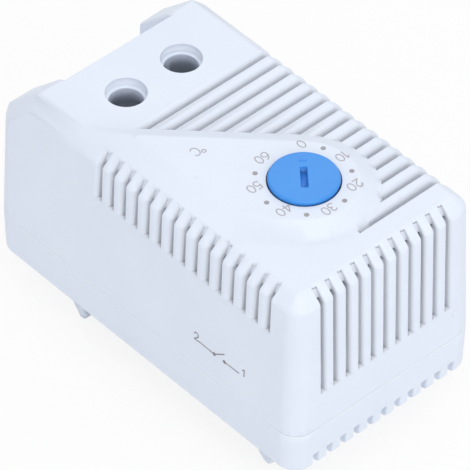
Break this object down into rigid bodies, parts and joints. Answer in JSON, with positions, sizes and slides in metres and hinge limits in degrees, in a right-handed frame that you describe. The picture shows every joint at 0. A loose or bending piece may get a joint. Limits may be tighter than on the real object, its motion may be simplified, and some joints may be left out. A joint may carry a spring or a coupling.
{
  "type": "bimetal thermostat",
  "caption": "Rail-mounted bimetal temperature switch: slotted moulded case with a setting dial, screw terminals behind a recessed end and hooks for a 35 mm rail.",
  "frame": {"origin": "middle of the case in plan, at the tips of the rail hooks on which it lies", "axes": "+X from the terminal end to the slotted end, +Y across the case, +Z out of the dial face"},
  "size_m": [0.06, 0.033, 0.0394],
  "materials": {
    "case_plastic": "satin moulded",
    "carrier_plastic": "moulded",
    "dial_plastic": "semi gloss",
    "steel": "zinc plated",
    "brass": "bright",
    "bimetal": "rolled",
    "contact_metal": "bright",
    "iron": "dark",
    "insulation": "pressed fibre"
  },
  "bodies": {
    "case": {"housing": "case_plastic", "base": "case_plastic", "carrier": "carrier_plastic", "friction_washer": "steel", "threaded_bush": "brass", "setting_bridge": "steel", "bridge_screws": "steel", "snap_magnet": "iron", "insulator": "insulation", "clamp_plate": "insulation", "stack_rivets": "steel", "terminal_bar_1": "brass", "terminal_bar_2": "brass"},
    "dial": {"dial": "dial_plastic", "dial_clip": "steel"},
    "spindle": {"setting_spindle": "brass"},
    "leaf": {"contact_leaf": "brass", "fixed_contact": "contact_metal"},
    "bimetal": {"bimetal_strip": "bimetal", "moving_contact": "contact_metal", "armature": "iron"},
    "screw_1": {"terminal_screw_1": "steel"},
    "screw_2": {"terminal_screw_2": "steel"},
    "cage_1": {"terminal_cage_1": "steel"},
    "cage_2": {"terminal_cage_2": "steel"}
  },
  "joints": [
    {"name": "dial_turn", "type": "hinge", "parent": "case", "child": "dial", "pos_m": [0.0135, 0, 0.037], "axis": [0, 0, 1], "range_deg": [-308.57, 0]},
    {"name": "spindle_feed", "type": "slide", "parent": "dial", "child": "spindle", "axis": [0, 0, 1], "range_m": [-0.00042857, 0]},
    {"name": "leaf_flex", "type": "hinge", "parent": "case", "child": "leaf", "pos_m": [-0.00735, 0, 0.02132], "axis": [0, 1, 0], "range_deg": [0, 1.19]},
    {"name": "bimetal_flex", "type": "hinge", "parent": "case", "child": "bimetal", "pos_m": [-0.00735, 0, 0.02396], "axis": [0, 1, 0], "range_deg": [-1, 0.8], "stiffness_Nm_per_rad": 0.3},
    {"name": "screw_1_turn", "type": "hinge", "parent": "case", "child": "screw_1", "pos_m": [-0.01585, -0.00495, 0.03], "axis": [0, 0, 1], "range_deg": [-1320, 0]},
    {"name": "cage_1_lift", "type": "slide", "parent": "case", "child": "cage_1", "axis": [0, 0, 1], "range_m": [0, 0.0022]},
    {"name": "screw_2_turn", "type": "hinge", "parent": "case", "child": "screw_2", "pos_m": [-0.01585, 0.00495, 0.03], "axis": [0, 0, 1], "range_deg": [-1320, 0]},
    {"name": "cage_2_lift", "type": "slide", "parent": "case", "child": "cage_2", "axis": [0, 0, 1], "range_m": [0, 0.0022]}
  ],
  "couplings": [
    {"joint": "dial_turn", "follows": "spindle_feed", "rad_per_m": 12566},
    {"joint": "leaf_flex", "follows": "spindle_feed", "rad_per_m": -47.962},
    {"joint": "screw_1_turn", "follows": "cage_1_lift", "rad_per_m": -10472},
    {"joint": "screw_2_turn", "follows": "cage_2_lift", "rad_per_m": -10472}
  ]
}
